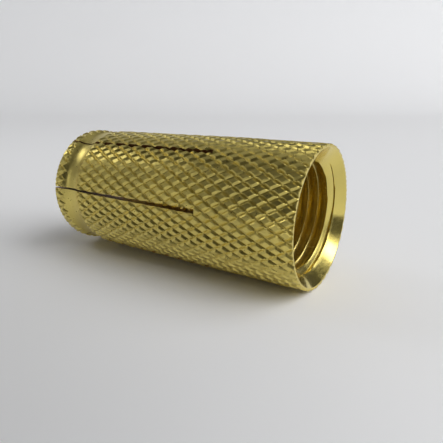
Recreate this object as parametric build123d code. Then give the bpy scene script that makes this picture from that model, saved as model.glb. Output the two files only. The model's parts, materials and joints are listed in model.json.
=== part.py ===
from build123d import *
import math
import os

# Knurled brass expansion anchor for an M16 x 1.5 screw, lying with its axis along X.
# The origin is the centre of the open mouth, +X points out of the mouth, +Z is up.
# The tail is sawn into leaves, which are supplied pinched inwards and open like the
# petals of a collet when the screw is driven into the narrowing bore between them.

# Driving dimensions, in millimetres and degrees
OUTER_DIAMETER = 19.4  # over the knurl's crests, for a 20 mm drilled hole
LENGTH = 41.5
THREAD_MAJOR_DIAMETER = 16.0
THREAD_PITCH = 1.5
MOUTH_RIM_WIDTH = 0.45  # the flat ring between the countersink and the outside
COUNTERSINK_HALF_ANGLE = 45.0

# Three saw cuts straight across the sleeve make six slots. They aren't evenly indexed:
# the first two are close, and the third is midway in what is left.
FIRST_CUT_ANGLE = 6.5  # measured from -Y towards +Z
CLOSE_CUTS = 52.8
SLOT_WIDTH = 0.62
SLOT_ROOT = 13.75  # distance from the mouth to the bottom of the saw cuts
TAIL_GAP = 0.22  # what is left of a slot's width at the pinched tail
ROOT_CLEARANCE = 0.06  # keeps a leaf's root clear of the collar as it bends

GROOVE_START = 36.2  # smooth groove near the tail
GROOVE_END = 39.7
GROOVE_DEPTH = 0.6
TAPER_START = 28.0  # the bore narrows from here to the tail
TAIL_BORE_DIAMETER = 12.8
TAIL_CHAMFER = 0.3

# Sizes that follow from them
OUTER_RADIUS = OUTER_DIAMETER / 2
THREAD_DEPTH = 0.5413 * THREAD_PITCH  # five eighths of the height of a 60 degree triangle
BORE_RADIUS = THREAD_MAJOR_DIAMETER / 2 - THREAD_DEPTH
MOUTH_RADIUS = OUTER_RADIUS - MOUTH_RIM_WIDTH
COUNTERSINK_DEPTH = (MOUTH_RADIUS - BORE_RADIUS) / math.tan(math.radians(COUNTERSINK_HALF_ANGLE))
GROOVE_RADIUS = OUTER_RADIUS - GROOVE_DEPTH
HINGE_RADIUS = (OUTER_RADIUS + BORE_RADIUS) / 2
SECOND_CUT_ANGLE = FIRST_CUT_ANGLE + CLOSE_CUTS
THIRD_CUT_ANGLE = (SECOND_CUT_ANGLE + FIRST_CUT_ANGLE + 180) / 2
CUT_ANGLES = (FIRST_CUT_ANGLE, SECOND_CUT_ANGLE, THIRD_CUT_ANGLE)
SLOT_ANGLES = CUT_ANGLES + tuple(angle + 180 for angle in CUT_ANGLES)
LEAF_COUNT = len(SLOT_ANGLES)
LEAF_LENGTH = LENGTH - SLOT_ROOT
# Two neighbours each lean in along their own middles, so a slot narrows by twice the
# leaf's inward travel times the sine of half a leaf's angle, which is 30 degrees on average.
TAIL_INSET = (SLOT_WIDTH - TAIL_GAP) / (2 * math.sin(math.radians(180 / LEAF_COUNT)))
PINCH_ANGLE = math.degrees(math.atan2(TAIL_INSET, LEAF_LENGTH))
OVERSIZE = 5.0  # how far cutting solids reach past what they cut


def turned(outline):
    """The solid that a closed outline of (x, radius) points sweeps about the X axis."""
    return revolve(make_face(Polyline(*outline, close=True)), axis=Axis.X)


def threaded_collar():
    """The uncut front of the sleeve: countersunk mouth and threaded bore at minor diameter."""
    return turned(
        [
            (0, MOUTH_RADIUS),
            (0, OUTER_RADIUS),
            (-SLOT_ROOT, OUTER_RADIUS),
            (-SLOT_ROOT, BORE_RADIUS),
            (-COUNTERSINK_DEPTH, BORE_RADIUS),
        ]
    )


def unslotted_tail():
    """The back of the sleeve as turned: smooth groove outside, narrowing bore inside."""
    return turned(
        [
            (-SLOT_ROOT, OUTER_RADIUS),
            (-GROOVE_START, OUTER_RADIUS),
            (-GROOVE_START, GROOVE_RADIUS),
            (-GROOVE_END, GROOVE_RADIUS),
            (-GROOVE_END, OUTER_RADIUS),
            (-LENGTH + TAIL_CHAMFER, OUTER_RADIUS),
            (-LENGTH, OUTER_RADIUS - TAIL_CHAMFER),
            (-LENGTH, TAIL_BORE_DIAMETER / 2),
            (-TAPER_START, BORE_RADIUS),
            (-SLOT_ROOT, BORE_RADIUS),
        ]
    )


def saw_cut(angle):
    """One pass of the slitting saw, right across the sleeve through its axis."""
    slab = Box(LEAF_LENGTH + 2 * OVERSIZE, OUTER_DIAMETER + 2 * OVERSIZE, SLOT_WIDTH)
    return Pos(X=-SLOT_ROOT - LEAF_LENGTH / 2) * Rot(X=-angle) * slab


def leaf_middle(number):
    """Angle of a leaf's middle, from -Y towards +Z; leaves are numbered from 1."""
    slots = SLOT_ANGLES + (FIRST_CUT_ANGLE + 360,)
    return (slots[number - 1] + slots[number]) / 2


def hinge_axis(number):
    """Where a leaf bends: across its root, halfway through the wall.
    Turning a leaf forwards about it opens the leaf outwards."""
    angle = math.radians(leaf_middle(number))
    point = (-SLOT_ROOT, -HINGE_RADIUS * math.cos(angle), HINGE_RADIUS * math.sin(angle))
    return Axis(point, (0, math.sin(angle), math.cos(angle)))


def angle_round(solid):
    """A solid's place round the X axis, from -Y towards +Z."""
    middle = solid.center(CenterOf.BOUNDING_BOX)
    return math.degrees(math.atan2(middle.Z, -middle.Y)) % 360


def expansion_leaves():
    """The leaves in order, pinched inwards as supplied and trimmed clear of the collar."""
    cut = unslotted_tail()
    for angle in CUT_ANGLES:
        cut = cut - saw_cut(angle)
    straight = sorted(cut.solids(), key=angle_round)
    room = Box(2 * OVERSIZE, OUTER_DIAMETER + 2 * OVERSIZE, OUTER_DIAMETER + 2 * OVERSIZE)
    room = Pos(X=OVERSIZE - SLOT_ROOT - ROOT_CLEARANCE) * room
    leaves = []
    for number, leaf in enumerate(straight, start=1):
        pinched = leaf.rotate(hinge_axis(number), -PINCH_ANGLE)
        leaves.append(pinched - room)
    return leaves


def main():
    os.makedirs("parts", exist_ok=True)
    export_step(threaded_collar(), "parts/threaded_collar.step")
    for number, leaf in enumerate(expansion_leaves(), start=1):
        export_step(leaf, f"parts/expansion_leaf_{number}.step")
        axis = hinge_axis(number)
        print(number, "hinge at", axis.position, "along", axis.direction)
    print("bore radius", BORE_RADIUS, "from", -COUNTERSINK_DEPTH, "to", -SLOT_ROOT)
    print("leaves pinched by", PINCH_ANGLE, "degrees")


main()
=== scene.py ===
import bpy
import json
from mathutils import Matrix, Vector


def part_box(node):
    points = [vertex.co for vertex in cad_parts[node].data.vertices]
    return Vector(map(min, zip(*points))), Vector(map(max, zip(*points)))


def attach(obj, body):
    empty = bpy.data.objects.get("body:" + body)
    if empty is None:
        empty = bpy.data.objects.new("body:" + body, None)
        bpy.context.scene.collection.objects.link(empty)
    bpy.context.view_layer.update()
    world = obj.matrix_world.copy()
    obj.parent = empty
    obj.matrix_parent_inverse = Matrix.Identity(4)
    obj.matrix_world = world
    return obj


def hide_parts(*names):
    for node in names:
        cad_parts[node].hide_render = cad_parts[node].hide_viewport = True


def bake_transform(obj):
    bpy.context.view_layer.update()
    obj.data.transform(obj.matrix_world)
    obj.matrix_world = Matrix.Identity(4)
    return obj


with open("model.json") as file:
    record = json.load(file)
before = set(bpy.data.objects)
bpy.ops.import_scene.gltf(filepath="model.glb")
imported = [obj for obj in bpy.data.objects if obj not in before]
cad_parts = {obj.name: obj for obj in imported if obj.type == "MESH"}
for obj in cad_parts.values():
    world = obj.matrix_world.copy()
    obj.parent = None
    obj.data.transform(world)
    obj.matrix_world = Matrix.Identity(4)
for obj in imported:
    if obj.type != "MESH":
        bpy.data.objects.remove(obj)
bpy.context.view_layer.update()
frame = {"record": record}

import bmesh
import bpy
import json
import math
import numpy as np
from mathutils import Matrix, Vector

# Lengths are millimetres until a finished mesh is scaled to the scene's metres.
# Angles round the anchor are measured from -Y towards +Z, seen along the X axis.
MM = 0.001
CLOSE = 1e-4  # points nearer than this count as one

# ---------------------------------------------------------------- sizes from the frame
mounts = {mount["name"]: mount for mount in frame["record"]["mounts"]}
collar_low, collar_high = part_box("threaded_collar")
OUTER_RADIUS = collar_high[2] / MM
ROOT_X = collar_low[0] / MM  # bottom of the saw cuts
TAIL_X = -41.5
BORE_RADIUS = mounts["screw_thread"]["dims"]["r_mm"]

# ---------------------------------------------------------------- sizes of the detail
THREAD_PITCH = 1.5
THREAD_START = math.radians(30)  # turns the thread so that it breaks into the countersink there
MAJOR_RADIUS = 8.0
CONE_RADIUS = 9.2  # the countersink's edge at the mouth
TAPER_X = -28.0  # the bore narrows from here to the tail
TAIL_BORE_RADIUS = 6.4
THREAD_END_X = -31.0
SLOT_WIDTH = 0.62
CUTS = [math.radians(angle) for angle in (6.5, 59.3, 122.9)]  # three saw cuts right across
SLOTS = CUTS + [angle + math.pi for angle in CUTS] + [CUTS[0] + math.tau]
LEAF_COUNT = 6
PINCH = math.radians(0.8258)
BEND_LENGTH = 5.0  # the leaf bends over this much of its root
HINGE_RADIUS = (OUTER_RADIUS + BORE_RADIUS) / 2
GROOVE_X = (-36.2, -39.7)
GROOVE_RADIUS = 9.1
# distances in from either shoulder, and heights above the bottom
GROOVE_HOLLOW = ((0.30, 0.24), (0.60, 0.12), (0.95, 0.05), (1.35, 0.01))
TAIL_CHAMFER = 0.35
TAIL_BORE_BEVEL = 0.3
SHOULDER_DROP, SHOULDER_RISE = 0.22, 0.8  # how far the outside falls away to the groove, and its slope

# The knurl is two families of V grooves of opposite hand, called A and B.
A_STARTS, B_STARTS = 40, 42  # grooves round the anchor
A_PER_MM, B_PER_MM = 3.98 / 9.7, 3.58 / 9.7  # grooves along it, counted over one radius
LATTICE = A_PER_MM * B_STARTS + B_PER_MM * A_STARTS
A_PHASE, B_PHASE = -0.06, 0.76  # where the valleys lie, as shares of the pitch
A_DEPTH, B_DEPTH = 0.27, 0.35
A_WIDTH, B_WIDTH = 0.25, 0.23  # half a groove's width, as a share of the pitch
VALLEY_WIDTH, LIP_WIDTH = 0.03, 0.035  # the flat at its bottom and the lip at its edge, likewise
A_LIP, B_LIP = 0.012, 0.045  # what the tool raised along the grooves' edges
LAND_DEPTH = 0.055  # the lands' mean depth below the outer radius
LAND_SINK, LAND_TILT = 0.02, 0.03  # how much each tooth's land sinks and tilts
BLEMISHES = ((0.008, 0.35), (0.006, 0.13))  # heights and sizes of two grades of roughness
TAIL_BAND_SHARE = 0.85  # the knurl is shallower beyond the groove
EDGE_BEVEL = 0.1  # round the mouth, where the tool left the work
# A tooth's mesh lines, as shares of its pitch from a valley: the valley, the wall, the lip and the land
A_LINES = (0, 0.03, 0.14, 0.25, 0.285, 0.43, 0.57, 0.715, 0.75, 0.86, 0.97)
B_LINES = (0, 0.03, 0.12, 0.23, 0.265, 0.39, 0.61, 0.735, 0.77, 0.88, 0.97)
THREAD_LINES = (0, 0.04, 0.125, 0.21, 0.25, 0.33, 0.41, 0.49, 0.5625, 0.60, 0.65, 0.6875, 0.76, 0.84, 0.92)


def seeded(seed):
    return np.random.default_rng(seed)


def patchwork(across, along, cell, seed, size=64):
    """Smooth noise from -1 to 1 with features about cell wide, repeating every size cells."""
    table = seeded(seed).uniform(-1, 1, (size, size))
    u, v = np.asarray(across) / cell, np.asarray(along) / cell
    i, j = np.floor(u).astype(int), np.floor(v).astype(int)
    fu, fv = u - i, v - j
    fu, fv = fu * fu * (3 - 2 * fu), fv * fv * (3 - 2 * fv)
    low = table[i % size, j % size] * (1 - fu) + table[(i + 1) % size, j % size] * fu
    high = table[i % size, (j + 1) % size] * (1 - fu) + table[(i + 1) % size, (j + 1) % size] * fu
    return low * (1 - fv) + high * fv


# ---------------------------------------------------------------- the knurl
def around(radius, angle):
    return -radius * np.cos(angle), radius * np.sin(angle)


def groove(share, depth, half_width, lip):
    """Height of the surface across one V groove, 0 on the lands and raised to a lip at its edges."""
    wall = depth * (np.maximum(share, VALLEY_WIDTH) / half_width - 1)
    edge = lip * np.clip(1 - np.abs(share - half_width) / LIP_WIDTH, 0, 1)
    return np.minimum(wall + lip, edge)


def knurl_radius(a, b, x, angle):
    """The knurled surface: two families of V grooves that leave flat four-sided teeth."""
    # the same place gives the same radius however many turns its angle counts
    turns = np.floor((angle + math.pi) / math.tau)
    a = a - turns * A_STARTS - A_PHASE
    b = b + turns * B_STARTS - B_PHASE
    angle = angle - turns * math.tau
    from_a = np.abs(a - np.round(a))  # 0 in a valley, 0.5 in the middle of a land
    from_b = np.abs(b - np.round(b))
    arc = angle * OUTER_RADIUS
    # each tooth's own sinking and tilts, from a table bigger than the number of teeth along or around
    tooth_a, tooth_b = np.floor(a).astype(int) % 97, np.floor(b).astype(int) % 89
    sunk, tilt_a, tilt_b = seeded(5).uniform(-1, 1, (3, 97, 89))[:, tooth_a, tooth_b]
    land = -LAND_DEPTH + LAND_SINK * sunk
    land = land + LAND_TILT * tilt_a * (a - np.floor(a) - 0.5)
    land = land + LAND_TILT * tilt_b * (b - np.floor(b) - 0.5)
    # the lips come and go along the grooves
    lip = np.clip(0.7 + 0.7 * patchwork(arc, x, 1.7, 11, 128), 0, 1)
    height = land + np.minimum(
        groove(from_a, A_DEPTH, A_WIDTH, A_LIP * lip), groove(from_b, B_DEPTH, B_WIDTH, B_LIP * lip)
    )
    (coarse, coarse_size), (fine, fine_size) = BLEMISHES
    rough = coarse * patchwork(arc, x, coarse_size, 3) + fine * patchwork(arc, x, fine_size, 4, 256)
    share = np.where(x < GROOVE_X[1], TAIL_BAND_SHARE, 1.0)
    return np.minimum(OUTER_RADIUS + share * height + rough, OUTER_RADIUS)


def knurl_points(i, j):
    """Points of the knurl's own grid, whose lines run along its two families of ridges."""
    a = i // len(A_LINES) + np.array(A_LINES)[i % len(A_LINES)] + A_PHASE
    b = j // len(B_LINES) + np.array(B_LINES)[j % len(B_LINES)] + B_PHASE
    x = -(a * B_STARTS + b * A_STARTS) / LATTICE
    angle = math.tau * (a * B_PER_MM - b * A_PER_MM) / LATTICE
    radius = knurl_radius(a, b, x, angle)
    radius = np.minimum(radius, OUTER_RADIUS - TAIL_CHAMFER + (x - TAIL_X))
    radius = np.minimum(radius, OUTER_RADIUS - EDGE_BEVEL - x)
    from_groove = np.maximum(x - GROOVE_X[0], GROOVE_X[1] - x)
    radius = np.minimum(radius, OUTER_RADIUS - SHOULDER_DROP + SHOULDER_RISE * np.maximum(from_groove, 0))
    y, z = around(radius, angle)
    return np.stack([x, y, z], axis=1), angle


def knurled_skin(x_range, angle_range):
    """A bmesh of the knurl that covers these ranges with a little to spare.
    A range of a whole turn closes on itself."""
    whole = angle_range[1] - angle_range[0] >= math.tau - 1e-9
    corners = [(x, t) for x in x_range for t in angle_range]
    a = [-x * A_PER_MM + A_STARTS * t / math.tau for x, t in corners]
    b = [-x * B_PER_MM - B_STARTS * t / math.tau for x, t in corners]
    steps_a, steps_b = len(A_LINES), len(B_LINES)
    i = np.arange((math.floor(min(a)) - 2) * steps_a, (math.ceil(max(a)) + 1) * steps_a)
    j = np.arange((math.floor(min(b)) - 2) * steps_b, (math.ceil(max(b)) + 1) * steps_b)
    i, j = [g.ravel() for g in np.meshgrid(i, j, indexing="ij")]
    points, angle = knurl_points(i, j)
    margin_x, margin_t = 0.8, 0.0 if whole else 0.09
    keep = (points[:, 0] < max(x_range) + margin_x) & (points[:, 0] > min(x_range) - margin_x)
    keep &= (angle >= angle_range[0] - margin_t) & (angle < angle_range[1] + margin_t)
    quads = [(i[keep] + di, j[keep] + dj) for di, dj in ((0, 0), (1, 0), (1, 1), (0, 1))]
    qi, qj = np.stack([q[0] for q in quads], 1), np.stack([q[1] for q in quads], 1)
    if whole:
        _, turn = knurl_points(qi.ravel(), qj.ravel())
        turns = np.floor((turn - angle_range[0]) / math.tau + 1e-9).astype(int).reshape(qi.shape)
        qi = qi - turns * A_STARTS * steps_a
        qj = qj + turns * B_STARTS * steps_b
    keys, faces = np.unique(np.stack([qi.ravel(), qj.ravel()], 1), axis=0, return_inverse=True)
    points, _ = knurl_points(keys[:, 0], keys[:, 1])
    mesh = bpy.data.meshes.new("skin")
    mesh.from_pydata(points.tolist(), [], faces.reshape(-1, 4).tolist())
    skin = bmesh.new()
    skin.from_mesh(mesh)
    bpy.data.meshes.remove(mesh)
    return skin


def cut_away(bm, point, outwards):
    """Removes what lies past a plane."""
    everything = bm.verts[:] + bm.edges[:] + bm.faces[:]
    bmesh.ops.bisect_plane(
        bm, geom=everything, dist=CLOSE, plane_co=point, plane_no=outwards, clear_outer=True
    )


def cut_band(bm, x_high, x_low):
    """Removes the band between two stations along the axis."""
    for x in (x_high, x_low):
        everything = bm.verts[:] + bm.edges[:] + bm.faces[:]
        bmesh.ops.bisect_plane(bm, geom=everything, dist=CLOSE, plane_co=(x, 0, 0), plane_no=(1, 0, 0))
    inside = [f for f in bm.faces if x_low < f.calc_center_median().x < x_high]
    bmesh.ops.delete(bm, geom=inside, context="FACES")


# ---------------------------------------------------------------- chains of vertices
def angle_of(vertex, middle=0.0):
    """The vertex's angle, within half a turn of middle."""
    angle = math.atan2(vertex.co.z, -vertex.co.y)
    return middle + (angle - middle + math.pi) % math.tau - math.pi


def edge_at_x(bm, x, middle=0.0):
    """The skin's edge vertices at one station along the axis, in order round it."""
    found = [v for v in bm.verts if v.is_boundary and abs(v.co.x - x) < 1e-3]
    return sorted(found, key=lambda v: angle_of(v, middle))


def zip_up(bm, one, other, key, closed=False):
    """Closes the gap between two chains of vertices with triangles, in the order of a key."""
    turn = math.tau if closed else 0
    one_keys, other_keys = [key(v) for v in one], [key(v) for v in other]
    if closed:
        one, other = one + one[:1], other + other[:1]
        one_keys.append(one_keys[0] + turn)
        other_keys.append(other_keys[0] + turn)
    i = j = 0
    while i < len(one) - 1 or j < len(other) - 1:
        step_one = j == len(other) - 1 or (i < len(one) - 1 and one_keys[i + 1] <= other_keys[j + 1])
        corners = (one[i], one[i + 1], other[j]) if step_one else (one[i], other[j + 1], other[j])
        if len(set(corners)) == 3:
            bm.faces.new(corners)
        i, j = (i + 1, j) if step_one else (i, j + 1)


def new_rows(bm, rows):
    """Vertices for rows of points."""
    return [[bm.verts.new(p) for p in row] for row in rows]


def join_rows(bm, rows, closed=False):
    """Faces between neighbouring rows of vertices."""
    for upper, lower in zip(rows, rows[1:]):
        count = len(upper)
        for k in range(count if closed else count - 1):
            n = (k + 1) % count
            bm.faces.new((upper[k], upper[n], lower[n], lower[k]))


# ---------------------------------------------------------------- the bore
def thread_depth(phase):
    """Depth of the thread's groove, 0 at the crest and 1 at the root, over one pitch."""
    return np.interp(phase % 1, (0, 0.25, 0.5625, 0.6875, 1), (0, 0, 1, 1, 0))


def bore_radius(x, angle):
    """The bore's surface: countersink, right-handed thread, then a narrowing plain bore."""
    phase = x / THREAD_PITCH + (angle + THREAD_START) / math.tau
    fade = np.clip((x - THREAD_END_X) / (TAPER_X - THREAD_END_X), 0, 1)
    plain = BORE_RADIUS + (TAIL_BORE_RADIUS - BORE_RADIUS) * np.clip((x - TAPER_X) / (TAIL_X - TAPER_X), 0, 1)
    thread = plain + (MAJOR_RADIUS - BORE_RADIUS) * thread_depth(phase) * fade
    return np.maximum(thread, CONE_RADIUS + x)


def thread_stations(x_from, x_to, angle):
    """Stations along the bore at one angle, following the thread's own lines."""
    first = math.floor(-x_from / THREAD_PITCH) - 2
    last = math.ceil(-x_to / THREAD_PITCH) + 2
    lines = [THREAD_PITCH * (turn + line) for turn in range(first, last) for line in THREAD_LINES]
    # the lines run towards the tail, and phase falls that way
    shift = THREAD_PITCH * (angle + THREAD_START) / math.tau
    return [min(x_from, max(x_to, -line - shift)) for line in lines]


def bore_rows(stations_at, angles):
    """Rows of points down the bore; each has one point for every angle."""
    columns = []
    for angle in angles:
        x = np.array(stations_at(angle))
        y, z = around(bore_radius(x, angle), angle)
        columns.append(np.stack([x, y, z], axis=1))
    return [[column[k] for column in columns] for k in range(len(columns[0]))]


# ---------------------------------------------------------------- the collar
def build_collar():
    bm = knurled_skin((0, ROOT_X), (0, math.tau))
    cut_away(bm, (0, 0, 0), (1, 0, 0))
    cut_away(bm, (ROOT_X, 0, 0), (-1, 0, 0))
    front, back = edge_at_x(bm, 0), edge_at_x(bm, ROOT_X)
    # the thread's lines climb one pitch in a turn, so the first and last columns meet only when merged
    angles = np.linspace(-math.pi, math.pi, 241)
    cone_end = -1.0

    def stations(angle):
        return [0, -0.12, -0.4, -0.7] + thread_stations(cone_end, ROOT_X, angle)

    rows = new_rows(bm, bore_rows(stations, angles))
    join_rows(bm, rows)
    zip_up(bm, front, rows[0][:-1], angle_of, closed=True)
    zip_up(bm, back, rows[-1][:-1], angle_of, closed=True)
    return bm


# ---------------------------------------------------------------- the leaves
def slot_plane(angle):
    """The direction across a saw cut, pointing the way angles grow."""
    return Vector((0, math.sin(angle), math.cos(angle)))


def between_slots(radius, middle, half, count):
    """Angles across a leaf at this radius, from one saw cut's wall to the other's."""
    half = half - math.asin(SLOT_WIDTH / 2 / radius)
    return np.linspace(middle - half, middle + half, count)


def leaf_bore_rows(middle, half, count):
    """Rows down a leaf's bore. Their ends lie on the saw cuts' walls."""
    share = np.linspace(-1, 1, count)
    columns = []
    for s in share:
        nominal = middle + s * (half - math.asin(SLOT_WIDTH / 2 / MAJOR_RADIUS))
        plain = [-33.0, -36.0, -39.0, TAIL_X + TAIL_BORE_BEVEL, TAIL_X]
        x = np.array(thread_stations(ROOT_X, THREAD_END_X, nominal) + plain)
        radius = bore_radius(x, nominal)
        radius[-1] += TAIL_BORE_BEVEL
        angle = middle + s * (half - np.arcsin(SLOT_WIDTH / 2 / radius))
        y, z = around(radius, angle)
        columns.append(np.stack([x, y, z], axis=1))
    return [[column[k] for column in columns] for k in range(len(columns[0]))]


def groove_rows(middle, half, count):
    """Rows across the smooth, slightly hollow groove, from its front shoulder to its back one."""
    front, back = GROOVE_X
    outline = [(front - inwards, GROOVE_RADIUS + height) for inwards, height in GROOVE_HOLLOW]
    outline += [((front + back) / 2, GROOVE_RADIUS)]
    outline += [(back + inwards, GROOVE_RADIUS + height) for inwards, height in reversed(GROOVE_HOLLOW)]
    rows = []
    for x, radius in outline:
        angles = between_slots(radius, middle, half, count)
        y, z = around(radius, angles)
        rows.append(np.stack([np.full(count, x), y, z], axis=1))
    return rows


def build_leaf(middle, half):
    bm = knurled_skin((ROOT_X, TAIL_X), (middle - half, middle + half))
    cut_away(bm, (ROOT_X, 0, 0), (1, 0, 0))
    cut_away(bm, (TAIL_X, 0, 0), (-1, 0, 0))
    walls = []
    for side in (-1, 1):
        across = slot_plane(middle + side * half) * side
        point = across * -SLOT_WIDTH / 2
        cut_away(bm, point, across)
        walls.append((point, across))
    cut_band(bm, *GROOVE_X)

    def by_angle(vertex):
        return angle_of(vertex, middle)

    groove = new_rows(bm, groove_rows(middle, half, 49))
    join_rows(bm, groove)
    zip_up(bm, edge_at_x(bm, GROOVE_X[0], middle), groove[0], by_angle)
    zip_up(bm, edge_at_x(bm, GROOVE_X[1], middle), groove[-1], by_angle)
    root, tail = edge_at_x(bm, ROOT_X, middle), edge_at_x(bm, TAIL_X, middle)
    outside = set(bm.verts)
    bore = new_rows(bm, leaf_bore_rows(middle, half, 41))
    join_rows(bm, bore)
    zip_up(bm, root, bore[0], by_angle)
    zip_up(bm, tail, bore[-1], by_angle)
    for end, (point, across) in zip((0, -1), walls):
        on_wall = [v for v in outside if abs((v.co - point).dot(across)) < 2e-3 and v.is_boundary]
        on_wall.sort(key=lambda v: -v.co.x)
        zip_up(bm, on_wall, [row[end] for row in bore], lambda v: -v.co.x)
    return bm


def pinch(bm, middle):
    """Bends a straight leaf inwards about its root, as it is supplied."""
    hinge = Vector((ROOT_X, *[float(c) for c in around(HINGE_RADIUS, middle)]))
    axis = Vector((0, math.sin(middle), math.cos(middle)))
    for vertex in bm.verts:
        along = min(max((ROOT_X - vertex.co.x) / BEND_LENGTH, 0), 1)
        weight = along * along * (3 - 2 * along)
        turn = Matrix.Rotation(-PINCH * weight, 3, axis)
        vertex.co = hinge + turn @ (vertex.co - hinge)


# ---------------------------------------------------------------- meshes and shading
def finish_mesh(bm, name, materials):
    """Turns a bmesh in millimetres into an object in metres, smooth where it was turned."""
    bmesh.ops.remove_doubles(bm, verts=bm.verts[:], dist=2e-4)
    bmesh.ops.dissolve_degenerate(bm, dist=CLOSE, edges=bm.edges[:])
    bmesh.ops.recalc_face_normals(bm, faces=bm.faces[:])
    for face in bm.faces:
        middle = face.calc_center_median()
        radius = math.hypot(middle.y, middle.z)
        in_groove = GROOVE_X[1] < middle.x < GROOVE_X[0] and radius < GROOVE_RADIUS + 0.26
        across = (face.normal.y * middle.y + face.normal.z * middle.z) / max(radius, 1e-6)
        sawn = middle.x < ROOT_X + 0.01 and radius > TAIL_BORE_RADIUS and abs(across) < 0.3
        sawn = sawn and (abs(face.normal.x) < 0.2 or middle.x > ROOT_X - 0.3)
        in_bore = radius < MAJOR_RADIUS + 0.03 and not sawn
        face.smooth = in_bore or in_groove and not sawn or middle.x > -1.3 and radius < CONE_RADIUS
        face.material_index = 3 if sawn else 2 if in_bore else 1 if face.smooth and not in_groove else 0
    sharp = math.radians(24)
    for edge in bm.edges:
        edge.smooth = not (len(edge.link_faces) == 2 and edge.calc_face_angle() > sharp)
    open_edges = sum(1 for edge in bm.edges if len(edge.link_faces) != 2)
    print(name, "faces", len(bm.faces), "open edges", open_edges, "volume", round(bm.calc_volume(), 1))
    bmesh.ops.scale(bm, verts=bm.verts[:], vec=(MM, MM, MM))
    mesh = bpy.data.meshes.new(name)
    bm.to_mesh(mesh)
    bm.free()
    for material in materials:
        mesh.materials.append(material)
    piece = bpy.data.objects.new(name, mesh)
    bpy.context.scene.collection.objects.link(piece)
    return piece


# ---------------------------------------------------------------- materials
CLEAN, OLIVE = (0.78, 0.64, 0.18), (0.70, 0.58, 0.17)


def node(tree, kind, **settings):
    made = tree.nodes.new(kind)
    for name, value in settings.items():
        setattr(made, name, value)
    return made


def noise(tree, place, scale, detail=4.0, roughness=0.5):
    made = node(tree, "ShaderNodeTexNoise")
    made.inputs["Scale"].default_value = scale
    made.inputs["Detail"].default_value = detail
    made.inputs["Roughness"].default_value = roughness
    tree.links.new(place, made.inputs["Vector"])
    return made.outputs["Fac"]


def remap(tree, value, low, high, to_low, to_high):
    made = node(tree, "ShaderNodeMapRange", clamp=True)
    for name, number in (("From Min", low), ("From Max", high), ("To Min", to_low), ("To Max", to_high)):
        made.inputs[name].default_value = number
    tree.links.new(value, made.inputs["Value"])
    return made.outputs["Result"]


def mix(tree, share, first, second):
    made = node(tree, "ShaderNodeMix", data_type="RGBA")
    tree.links.new(share, made.inputs["Factor"])
    for socket, value in ((made.inputs["A"], first), (made.inputs["B"], second)):
        if isinstance(value, tuple):
            socket.default_value = (*value, 1)
        else:
            tree.links.new(value, socket)
    return made.outputs["Result"]


def brass(name, gloss, bump_strength, painted_bore_light=None, rings=0.0):
    """Yellow brass: slight tarnish in patches, fine tool marks, and gloss that varies.
    Deep in the bore it can change to a brighter colour, which is painted light that lifts the bore's dark
    inside, and it can carry the rings that turning leaves."""
    material = bpy.data.materials.new(name)
    material.use_nodes = True
    tree = material.node_tree
    shader = tree.nodes["Principled BSDF"]
    place = node(tree, "ShaderNodeTexCoord").outputs["Object"]
    patches = noise(tree, place, 160, 3)
    fine = noise(tree, place, 2600, 5, 0.65)
    colour = mix(tree, remap(tree, patches, 0.35, 0.7, 0, 1), CLEAN, OLIVE)
    if painted_bore_light or rings:
        split = node(tree, "ShaderNodeSeparateXYZ")
        tree.links.new(place, split.inputs[0])
    # painted light: from 2 to 3.5 mm into the bore the base colour turns brighter, to stand in for light
    # inside the bore
    if painted_bore_light:
        inside = remap(tree, split.outputs["X"], -2.0 * MM, -3.5 * MM, 0, 1)
        colour = mix(tree, inside, colour, painted_bore_light)
    tree.links.new(colour, shader.inputs["Base Color"])
    shader.inputs["Metallic"].default_value = 1.0
    tree.links.new(remap(tree, fine, 0.3, 0.7, *gloss), shader.inputs["Roughness"])
    bump = node(tree, "ShaderNodeBump")
    bump.inputs["Strength"].default_value = bump_strength
    bump.inputs["Distance"].default_value = 0.01 * MM
    tree.links.new(fine, bump.inputs["Height"])
    normal = bump.outputs["Normal"]
    if rings:
        marks = node(tree, "ShaderNodeTexNoise", noise_dimensions="1D")
        marks.inputs["Scale"].default_value = 9000
        marks.inputs["Detail"].default_value = 3
        tree.links.new(split.outputs["X"], marks.inputs["W"])
        ring_bump = node(tree, "ShaderNodeBump")
        ring_bump.inputs["Strength"].default_value = rings
        ring_bump.inputs["Distance"].default_value = 0.01 * MM
        tree.links.new(marks.outputs["Fac"], ring_bump.inputs["Height"])
        tree.links.new(normal, ring_bump.inputs["Normal"])
        normal = ring_bump.outputs["Normal"]
    tree.links.new(normal, shader.inputs["Normal"])
    return material


def sawn_brass_painted_shade():
    """The saw cuts' walls: brass darkened to brown as painted shade for the narrow cuts, scored along the
    cut.
    """
    material = bpy.data.materials.new("sawn_brass_painted_shade")
    material.use_nodes = True
    tree = material.node_tree
    shader = tree.nodes["Principled BSDF"]
    place = node(tree, "ShaderNodeTexCoord").outputs["Object"]
    scored = noise(tree, place, 3000, 4)
    # painted shade: the walls' dark brown stands in for the shade inside the narrow cuts
    colour = mix(tree, remap(tree, scored, 0.3, 0.7, 0, 1), (0.34, 0.17, 0.07), (0.46, 0.27, 0.10))
    tree.links.new(colour, shader.inputs["Base Color"])
    shader.inputs["Metallic"].default_value = 1.0
    tree.links.new(remap(tree, scored, 0.3, 0.7, 0.4, 0.55), shader.inputs["Roughness"])
    return material


# ---------------------------------------------------------------- the studio
CAMERA_PLACE = Vector((2.014, -5.657, 1.705)) * OUTER_RADIUS * MM
CAMERA_AZIMUTH, CAMERA_ELEVATION = math.radians(32.64), math.radians(16.62)
PAPER = (0.93, 0.935, 0.95)


def plain(name, colour):
    """A matt material for the studio."""
    material = bpy.data.materials.new(name)
    material.use_nodes = True
    shader = material.node_tree.nodes["Principled BSDF"]
    shader.inputs["Base Color"].default_value = (*colour, 1)
    shader.inputs["Roughness"].default_value = 0.9
    return material


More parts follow.
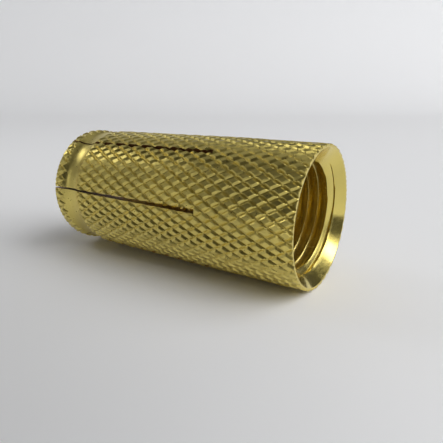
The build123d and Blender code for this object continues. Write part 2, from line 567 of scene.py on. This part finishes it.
def lay_sheet(name, rows):
    """A pale sheet of paper through rows of points, standing on the anchor's lowest level
    and turned with the camera, so that +Y is straight away from it."""
    bm = bmesh.new()
    join_rows(bm, new_rows(bm, rows))
    bmesh.ops.recalc_face_normals(bm, faces=bm.faces[:])
    for face in bm.faces:
        face.smooth = True
    mesh = bpy.data.meshes.new(name)
    bm.to_mesh(mesh)
    bm.free()
    mesh.materials.append(plain(name, PAPER))
    sheet = bpy.data.objects.new(name, mesh)
    sheet.location = (TAIL_X / 2 * MM, 0, -OUTER_RADIUS * MM)
    sheet.rotation_euler = (0, 0, CAMERA_AZIMUTH)
    bpy.context.scene.collection.objects.link(sheet)
    return sheet


def curve_up(start, bend, turns):
    """A quarter circle that rises from the floor, as distances from the middle and heights."""
    return [(start + bend * math.sin(turn), bend * (1 - math.cos(turn))) for turn in turns]


def build_floor():
    """A sheet that runs towards the camera and curves up into a low wall behind the anchor."""
    half_width, front, back, bend, count = 0.45, -0.60, 0.35, 0.15, 20
    outline = [(front, 0)] + [(y, 0) for y in np.linspace(-0.4, back, 8)]
    outline += curve_up(back, bend, np.linspace(0.1, math.pi / 2, 12))
    across = np.linspace(-half_width, half_width, count)
    lay_sheet("floor", [[(x, y, z) for x in across] for y, z in outline])


def build_surround():
    """A wall all round. Only the camera sees it, so it takes no light from the anchor."""
    start, bend, top = 0.40, 0.30, 0.9
    outline = [(start, -0.0005)]
    outline += curve_up(start, bend, np.linspace(0.15, math.pi / 2, 12))
    outline += [(start + bend, top)]
    turns = np.linspace(0, math.tau, 97)
    rows = [[(reach * math.cos(t), reach * math.sin(t), z) for t in turns] for reach, z in outline]
    wall = lay_sheet("surround", rows)
    wall.visible_diffuse = wall.visible_glossy = wall.visible_shadow = False


def build_flag():
    """A black card just behind the camera, which darkens what the brass reflects from there."""
    card = bpy.data.meshes.new("flag")
    left, right, bottom, top = -0.14, 0.012, -0.015, 0.06
    corners = [(left, bottom, 0), (right, bottom, 0), (right, top, 0), (left, top, 0)]
    card.from_pydata(corners, [], [(0, 1, 2, 3)])
    card.materials.append(plain("black_card", (0.02, 0.02, 0.02)))
    flag = bpy.data.objects.new("flag", card)
    turn = (math.pi / 2 - CAMERA_ELEVATION, 0, CAMERA_AZIMUTH)
    aim = Matrix.Rotation(CAMERA_AZIMUTH, 3, "Z") @ Matrix.Rotation(turn[0], 3, "X")
    flag.location = CAMERA_PLACE + aim @ Vector((0, 0, 3 * MM))
    flag.rotation_euler = turn
    flag.visible_camera = False
    bpy.context.scene.collection.objects.link(flag)


def soft_box(name, azimuth, elevation, wide, tall, radiance):
    """A rectangular light a metre away that looks this bright and this many degrees wide and tall.
    Azimuths run from +X towards +Y."""
    turn, rise = math.radians(azimuth), math.radians(elevation)
    light = bpy.data.lights.new(name, "AREA")
    light.shape = "RECTANGLE"
    light.size = 2 * math.tan(math.radians(wide / 2))
    light.size_y = 2 * math.tan(math.radians(tall / 2))
    light.energy = radiance * math.pi * light.size * light.size_y
    made = bpy.data.objects.new(name, light)
    away = Vector((math.cos(rise) * math.cos(turn), math.cos(rise) * math.sin(turn), math.sin(rise)))
    made.location = away + Vector((TAIL_X / 2 * MM, 0, 0))
    made.rotation_euler = away.to_track_quat("Z", "Y").to_euler()
    made.visible_camera = False
    bpy.context.scene.collection.objects.link(made)


def build_light():
    """A dim room, and soft boxes whose angles and brightness were fitted to the photo's reflections."""
    world = bpy.data.worlds.new("studio")
    world.use_nodes = True
    world.node_tree.nodes["Background"].inputs["Color"].default_value = (1, 1, 1, 1)
    world.node_tree.nodes["Background"].inputs["Strength"].default_value = 0.09
    bpy.context.scene.world = world
    # name, azimuth, elevation, width and height in degrees, radiance
    soft_box("window", -25, 52, 60, 36, 1.8)
    soft_box("window_far", 30, 50, 40, 32, 2.0)
    soft_box("window_low", -22, 29, 30, 12, 1.4)
    soft_box("low_right", 12, 18, 34, 28, 0.75)
    soft_box("front_right", -45, 8, 34, 12, 0.3)
    soft_box("behind_camera", -105, 16, 50, 30, 0.85)
    soft_box("front_left", -150, 18, 60, 24, 0.12)
    soft_box("strip", -172, 37, 14, 14, 3.2)
    soft_box("back_left", 150, 20, 50, 26, 0.45)
    soft_box("thread_light", 32, 21, 34, 9, 3.0)
    soft_box("low_left", -172, 5, 60, 10, 0.4)
    soft_box("lamp", 9, 29, 22, 8, 4.0)
    soft_box("ceiling", 100, 66, 80, 26, 0.25)


def build_camera():
    camera = bpy.data.cameras.new("camera")
    camera.sensor_width = 36
    camera.lens = 36.99
    camera.clip_start = 0.001
    made = bpy.data.objects.new("camera", camera)
    made.location = CAMERA_PLACE
    made.rotation_euler = (math.pi / 2 - CAMERA_ELEVATION, 0, CAMERA_AZIMUTH)
    bpy.context.scene.collection.objects.link(made)
    bpy.context.scene.camera = made


def main():
    metals = [
        brass("knurled_brass", (0.26, 0.38), 0.25),
        brass("turned_brass", (0.10, 0.20), 0.1, rings=0.35),
        # painted light: a brighter base colour deep in the bore
        brass("tapped_brass", (0.18, 0.28), 0.1, painted_bore_light=(0.89, 0.72, 0.24), rings=0.35),
        # painted shade on the saw cuts' walls
        sawn_brass_painted_shade(),
    ]
    collar = finish_mesh(build_collar(), "knurled_collar", metals)
    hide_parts("threaded_collar")
    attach(collar, "collar")
    for number in range(1, LEAF_COUNT + 1):
        middle = (SLOTS[number - 1] + SLOTS[number]) / 2
        bm = build_leaf(middle, (SLOTS[number] - SLOTS[number - 1]) / 2)
        pinch(bm, middle)
        leaf = finish_mesh(bm, f"knurled_leaf_{number}", metals)
        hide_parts(f"expansion_leaf_{number}")
        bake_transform(leaf)
    build_floor()
    build_surround()
    build_flag()
    build_light()
    build_camera()
    bpy.context.scene.view_settings.view_transform = "Standard"


main()
